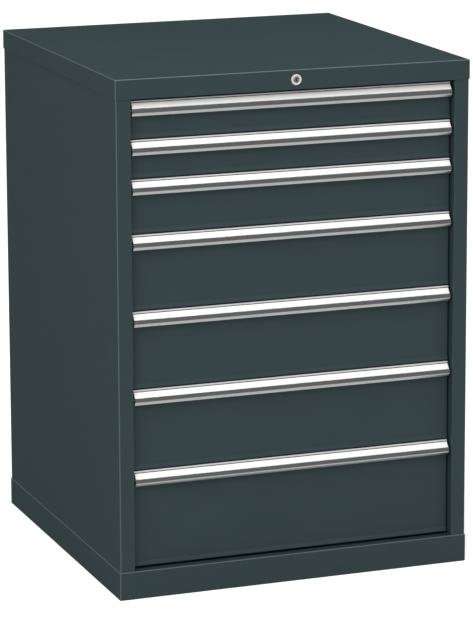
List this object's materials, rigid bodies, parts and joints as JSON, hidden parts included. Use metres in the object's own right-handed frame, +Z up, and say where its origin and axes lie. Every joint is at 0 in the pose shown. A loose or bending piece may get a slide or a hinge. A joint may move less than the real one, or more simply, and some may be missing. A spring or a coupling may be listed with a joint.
{
  "type": "workshop drawer cabinet",
  "caption": "Free-standing folded-steel workshop cabinet with full-width drawers on telescopic runners, aluminium label handles, plinth and central lock.",
  "frame": {"origin": "on the floor, under the middle of the cabinet's footprint", "axes": "+Z up, -Y out of the drawer fronts, +X to the right seen from the front"},
  "size_m": [0.717, 0.727, 1],
  "materials": {
    "powder_coat": "anthracite powder coat, fine texture, semi-matt",
    "tray_coat": "anthracite powder coat inside the drawers",
    "aluminium": "satin anodised extrusion",
    "label_strip": "white label strip under a clear cover",
    "zinc_steel": "zinc-plated steel",
    "nickel": "nickel-plated lock"
  },
  "bodies": {
    "cabinet": {"top_cover": "powder_coat", "plinth": "powder_coat", "side_panel_right": "powder_coat", "side_panel_left": "powder_coat", "back_panel": "powder_coat", "floor_panel": "powder_coat", "front_uprights": "zinc_steel", "rear_uprights": "zinc_steel", "cabinet_rails_right": "zinc_steel", "cabinet_rails_left": "zinc_steel", "lock_housing": "nickel", "lock_nut": "nickel", "lock_guides": "zinc_steel"},
    "lock_cylinder": {"lock_plug": "nickel", "lock_rod": "zinc_steel"},
    "lock_bar": {"locking_bar": "zinc_steel", "locking_arms": "zinc_steel", "locking_pins": "zinc_steel"},
    "drawer_1": {"drawer_1_front": "powder_coat", "drawer_1_tray": "tray_coat", "drawer_1_handle": "aluminium", "drawer_1_label_strip": "label_strip", "drawer_1_inner_rails": "zinc_steel"},
    "slide_1": {"drawer_1_middle_rails": "zinc_steel"},
    "drawer_2": {"drawer_2_front": "powder_coat", "drawer_2_tray": "tray_coat", "drawer_2_handle": "aluminium", "drawer_2_label_strip": "label_strip", "drawer_2_inner_rails": "zinc_steel"},
    "slide_2": {"drawer_2_middle_rails": "zinc_steel"},
    "drawer_3": {"drawer_3_front": "powder_coat", "drawer_3_tray": "tray_coat", "drawer_3_handle": "aluminium", "drawer_3_label_strip": "label_strip", "drawer_3_inner_rails": "zinc_steel"},
    "slide_3": {"drawer_3_middle_rails": "zinc_steel"},
    "drawer_4": {"drawer_4_front": "powder_coat", "drawer_4_tray": "tray_coat", "drawer_4_handle": "aluminium", "drawer_4_label_strip": "label_strip", "drawer_4_inner_rails": "zinc_steel"},
    "slide_4": {"drawer_4_middle_rails": "zinc_steel"},
    "drawer_5": {"drawer_5_front": "powder_coat", "drawer_5_tray": "tray_coat", "drawer_5_handle": "aluminium", "drawer_5_label_strip": "label_strip", "drawer_5_inner_rails": "zinc_steel"},
    "slide_5": {"drawer_5_middle_rails": "zinc_steel"},
    "drawer_6": {"drawer_6_front": "powder_coat", "drawer_6_tray": "tray_coat", "drawer_6_handle": "aluminium", "drawer_6_label_strip": "label_strip", "drawer_6_inner_rails": "zinc_steel"},
    "slide_6": {"drawer_6_middle_rails": "zinc_steel"},
    "drawer_7": {"drawer_7_front": "powder_coat", "drawer_7_tray": "tray_coat", "drawer_7_handle": "aluminium", "drawer_7_label_strip": "label_strip", "drawer_7_inner_rails": "zinc_steel"},
    "slide_7": {"drawer_7_middle_rails": "zinc_steel"}
  },
  "joints": [
    {"name": "drawer_1_slide", "type": "slide", "parent": "cabinet", "child": "drawer_1", "axis": [0, -1, 0], "range_m": [0, 0.61]},
    {"name": "slide_1_travel", "type": "slide", "parent": "cabinet", "child": "slide_1", "axis": [0, -1, 0], "range_m": [0, 0.306]},
    {"name": "drawer_2_slide", "type": "slide", "parent": "cabinet", "child": "drawer_2", "axis": [0, -1, 0], "range_m": [0, 0.61]},
    {"name": "slide_2_travel", "type": "slide", "parent": "cabinet", "child": "slide_2", "axis": [0, -1, 0], "range_m": [0, 0.306]},
    {"name": "drawer_3_slide", "type": "slide", "parent": "cabinet", "child": "drawer_3", "axis": [0, -1, 0], "range_m": [0, 0.61]},
    {"name": "slide_3_travel", "type": "slide", "parent": "cabinet", "child": "slide_3", "axis": [0, -1, 0], "range_m": [0, 0.306]},
    {"name": "drawer_4_slide", "type": "slide", "parent": "cabinet", "child": "drawer_4", "axis": [0, -1, 0], "range_m": [0, 0.61]},
    {"name": "slide_4_travel", "type": "slide", "parent": "cabinet", "child": "slide_4", "axis": [0, -1, 0], "range_m": [0, 0.306]},
    {"name": "drawer_5_slide", "type": "slide", "parent": "cabinet", "child": "drawer_5", "axis": [0, -1, 0], "range_m": [0, 0.61]},
    {"name": "slide_5_travel", "type": "slide", "parent": "cabinet", "child": "slide_5", "axis": [0, -1, 0], "range_m": [0, 0.306]},
    {"name": "drawer_6_slide", "type": "slide", "parent": "cabinet", "child": "drawer_6", "axis": [0, -1, 0], "range_m": [0, 0.61]},
    {"name": "slide_6_travel", "type": "slide", "parent": "cabinet", "child": "slide_6", "axis": [0, -1, 0], "range_m": [0, 0.306]},
    {"name": "drawer_7_slide", "type": "slide", "parent": "cabinet", "child": "drawer_7", "axis": [0, -1, 0], "range_m": [0, 0.61]},
    {"name": "slide_7_travel", "type": "slide", "parent": "cabinet", "child": "slide_7", "axis": [0, -1, 0], "range_m": [0, 0.306]},
    {"name": "lock_turn", "type": "hinge", "parent": "cabinet", "child": "lock_cylinder", "pos_m": [0, -0.3625, 0.981], "axis": [0, -1, 0], "range_deg": [0, 90]},
    {"name": "lock_bar_lift", "type": "slide", "parent": "cabinet", "child": "lock_bar", "axis": [0, 0, 1], "range_m": [0, 0.01697]}
  ],
  "couplings": [
    {"joint": "slide_1_travel", "follows": "drawer_1_slide", "ratio": 0.5},
    {"joint": "slide_2_travel", "follows": "drawer_2_slide", "ratio": 0.5},
    {"joint": "slide_3_travel", "follows": "drawer_3_slide", "ratio": 0.5},
    {"joint": "slide_4_travel", "follows": "drawer_4_slide", "ratio": 0.5},
    {"joint": "slide_5_travel", "follows": "drawer_5_slide", "ratio": 0.5},
    {"joint": "slide_6_travel", "follows": "drawer_6_slide", "ratio": 0.5},
    {"joint": "slide_7_travel", "follows": "drawer_7_slide", "ratio": 0.5},
    {"joint": "lock_turn", "follows": "lock_bar_lift", "rad_per_m": 92.56}
  ]
}
